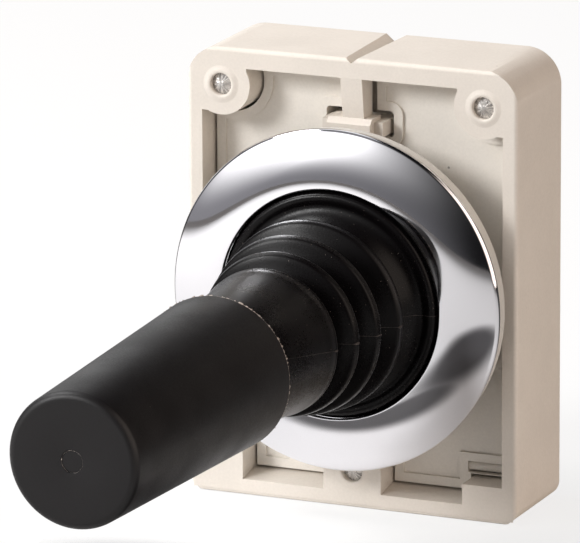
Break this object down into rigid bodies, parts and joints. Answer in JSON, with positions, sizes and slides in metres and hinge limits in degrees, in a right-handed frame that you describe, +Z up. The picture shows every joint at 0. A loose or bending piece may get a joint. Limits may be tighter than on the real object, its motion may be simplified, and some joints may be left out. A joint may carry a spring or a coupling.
{
  "type": "industrial joystick",
  "caption": "Panel-mount industrial joystick: tapered grip on a sprung two-axis lever, rubber boot, chrome bezel, clamp frame with jack screws.",
  "frame": {"origin": "lever's axis in the plane of the clamp frame's front face, which bears on the back of the panel", "axes": "-Y forward along the lever out of the panel, +Z up towards the frame's key, +X to the right as seen from the front"},
  "size_m": [0.045, 0.0986, 0.0588],
  "materials": {
    "beige_plastic": "fine matt moulded thermoplastic, warm light grey",
    "grey_plastic": "matt moulded thermoplastic, light grey",
    "steel": "zinc-plated steel",
    "chrome": "bright chrome plate",
    "boot_rubber": "satin black rubber with fine dust",
    "gasket_rubber": "matt black rubber",
    "grip_plastic": "fine matt black thermoplastic",
    "inner_plastic": "natural acetal",
    "brass": "machined brass"
  },
  "bodies": {
    "housing": {"clamp_frame": "beige_plastic", "carrier_plate": "beige_plastic", "clamp_screws": "steel", "neck_body": "grey_plastic", "retaining_nut": "grey_plastic", "panel_gasket": "gasket_rubber", "bezel_ring": "chrome", "bellows": "boot_rubber", "gate_plate": "steel", "pivot_sleeve": "inner_plastic", "plunger_guide": "inner_plastic", "rear_circlip": "steel", "spring_up": "steel", "spring_down": "steel", "spring_left": "steel", "spring_right": "steel"},
    "gimbal": {"gimbal_ring": "steel", "trunnion_pins": "steel"},
    "lever": {"lever_hub": "steel", "cross_pin": "steel", "lever_shaft": "steel", "actuator_disc": "inner_plastic", "disc_nut": "steel", "bellows_spacer": "grip_plastic", "grip": "grip_plastic", "grip_insert": "brass"},
    "plunger_up": {"plunger_up": "inner_plastic"},
    "plunger_down": {"plunger_down": "inner_plastic"},
    "plunger_left": {"plunger_left": "inner_plastic"},
    "plunger_right": {"plunger_right": "inner_plastic"}
  },
  "joints": [
    {"name": "tilt_up_down", "type": "hinge", "parent": "housing", "child": "gimbal", "pos_m": [0, 0, 0], "axis": [1, 0, 0], "range_deg": [-15, 15], "stiffness_Nm_per_rad": 2, "deforming": ["bellows"]},
    {"name": "tilt_left_right", "type": "hinge", "parent": "gimbal", "child": "lever", "pos_m": [0, 0, 0], "axis": [0, 0, 1], "range_deg": [-15, 15], "stiffness_Nm_per_rad": 2},
    {"name": "push_up", "type": "slide", "parent": "housing", "child": "plunger_up", "axis": [0, 1, 0], "range_m": [-0.0016, 0.0016], "deforming": ["spring_up"]},
    {"name": "push_down", "type": "slide", "parent": "housing", "child": "plunger_down", "axis": [0, 1, 0], "range_m": [-0.0016, 0.0016], "deforming": ["spring_down"]},
    {"name": "push_left", "type": "slide", "parent": "housing", "child": "plunger_left", "axis": [0, 1, 0], "range_m": [-0.0016, 0.0016], "deforming": ["spring_left"]},
    {"name": "push_right", "type": "slide", "parent": "housing", "child": "plunger_right", "axis": [0, 1, 0], "range_m": [-0.0016, 0.0016], "deforming": ["spring_right"]}
  ],
  "couplings": [
    {"joint": "push_down", "follows": "tilt_up_down", "m_per_rad": 0.006},
    {"joint": "push_up", "follows": "tilt_up_down", "m_per_rad": -0.006},
    {"joint": "push_right", "follows": "tilt_left_right", "m_per_rad": 0.006},
    {"joint": "push_left", "follows": "tilt_left_right", "m_per_rad": -0.006}
  ]
}
